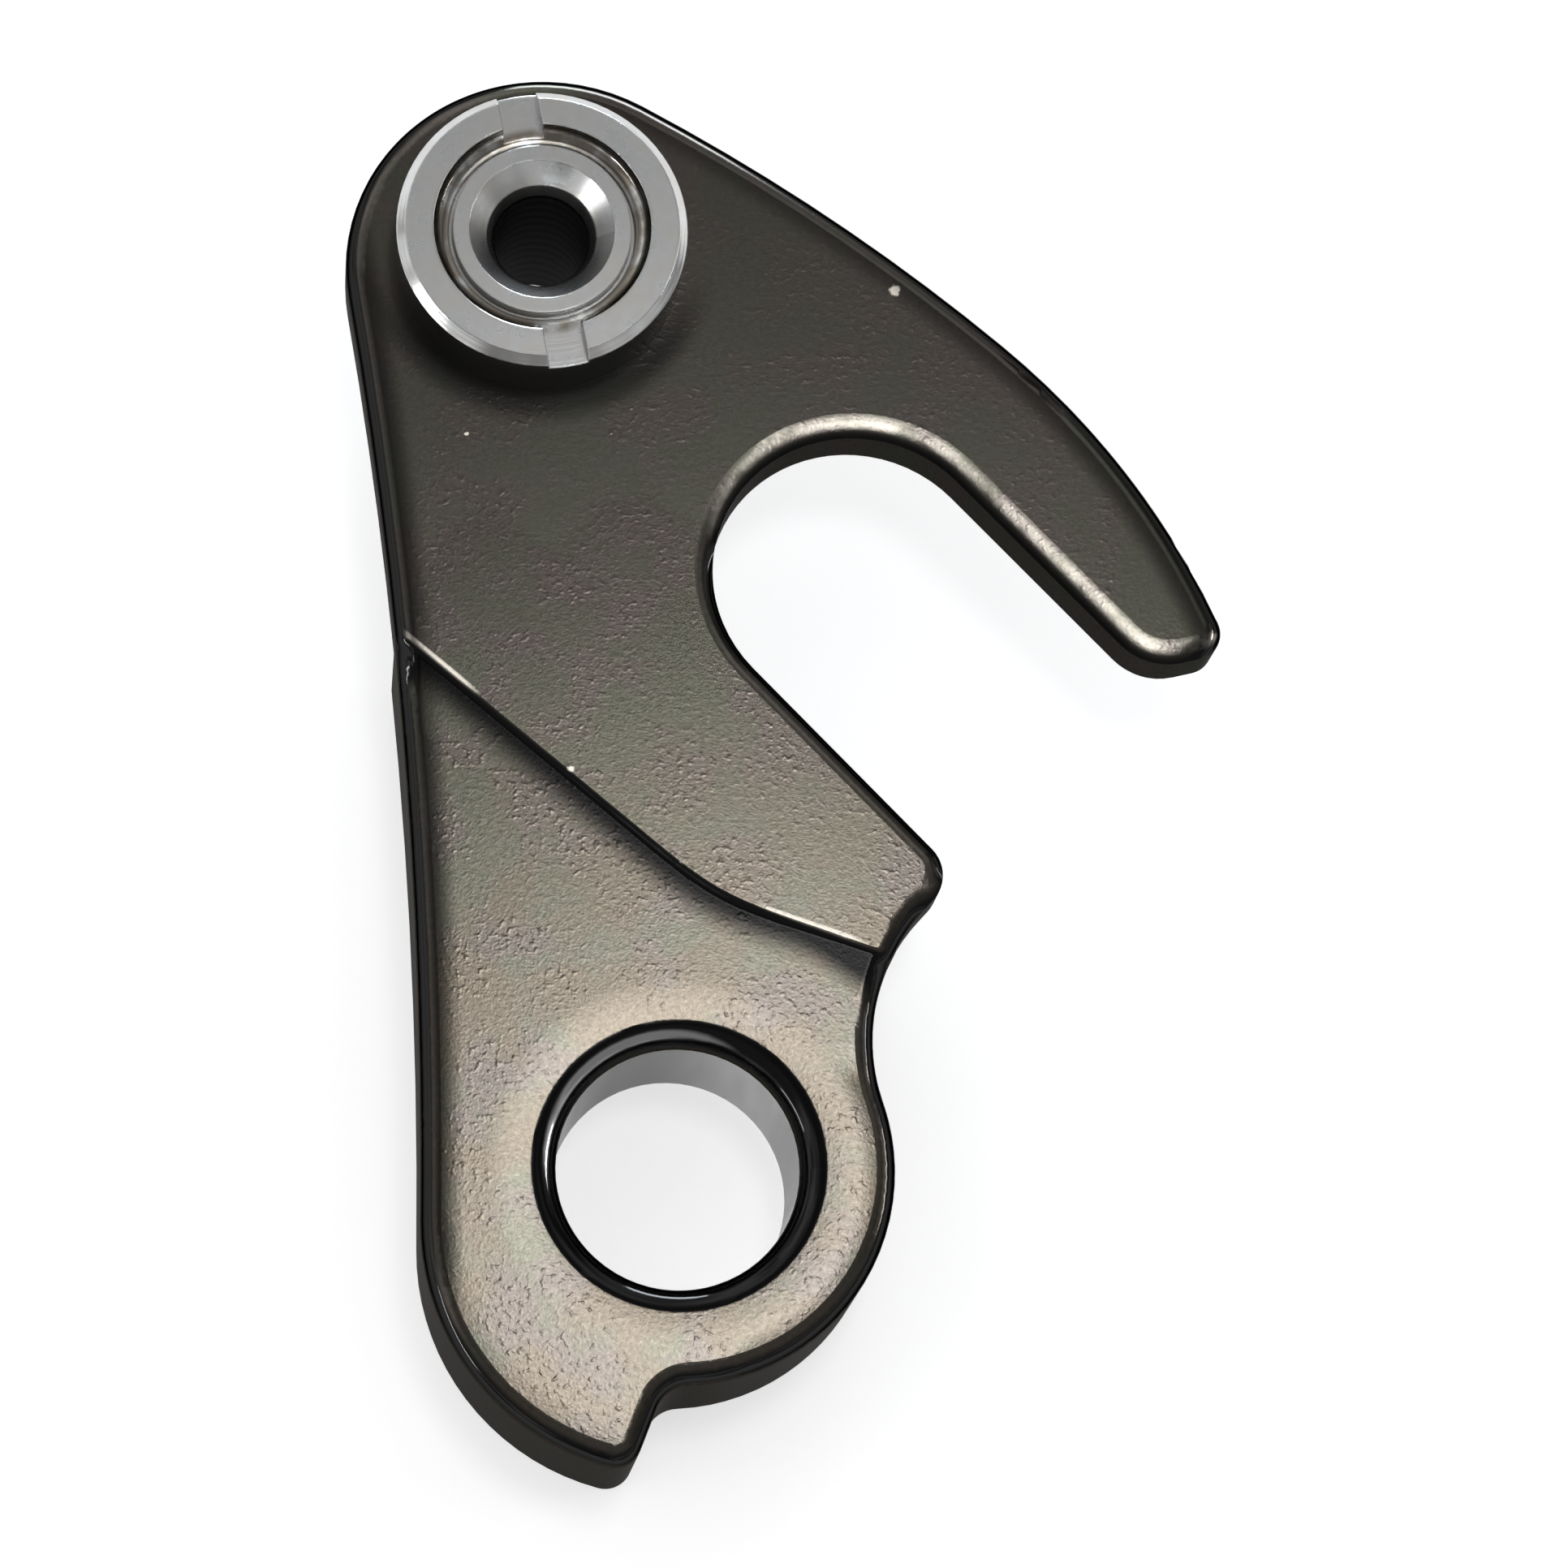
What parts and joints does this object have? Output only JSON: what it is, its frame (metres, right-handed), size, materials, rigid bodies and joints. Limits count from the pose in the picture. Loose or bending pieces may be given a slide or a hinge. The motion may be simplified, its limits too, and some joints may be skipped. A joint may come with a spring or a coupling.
{
  "type": "bicycle derailleur hanger",
  "caption": "Hook-ended gunmetal plate that bolts to a bicycle's rear axle end, with a slotted sleeve nut in its round end, an axle slot and a threaded hole for the derailleur.",
  "frame": {"origin": "on the axis of the derailleur hole, in the back face of the plate's lower half", "axes": "+Z out of the shown face along the hole, +Y towards the round end with the nut, +X towards the side that the hook's tip is on; the part lies on its back"},
  "size_m": [0.0331, 0.0528, 0.011],
  "materials": {
    "gunmetal": "satin gunmetal",
    "bright_plating": "polished"
  },
  "bodies": {
    "root": {"hanger_plate": "gunmetal", "slotted_nut": "bright_plating"}
  },
  "joints": []
}
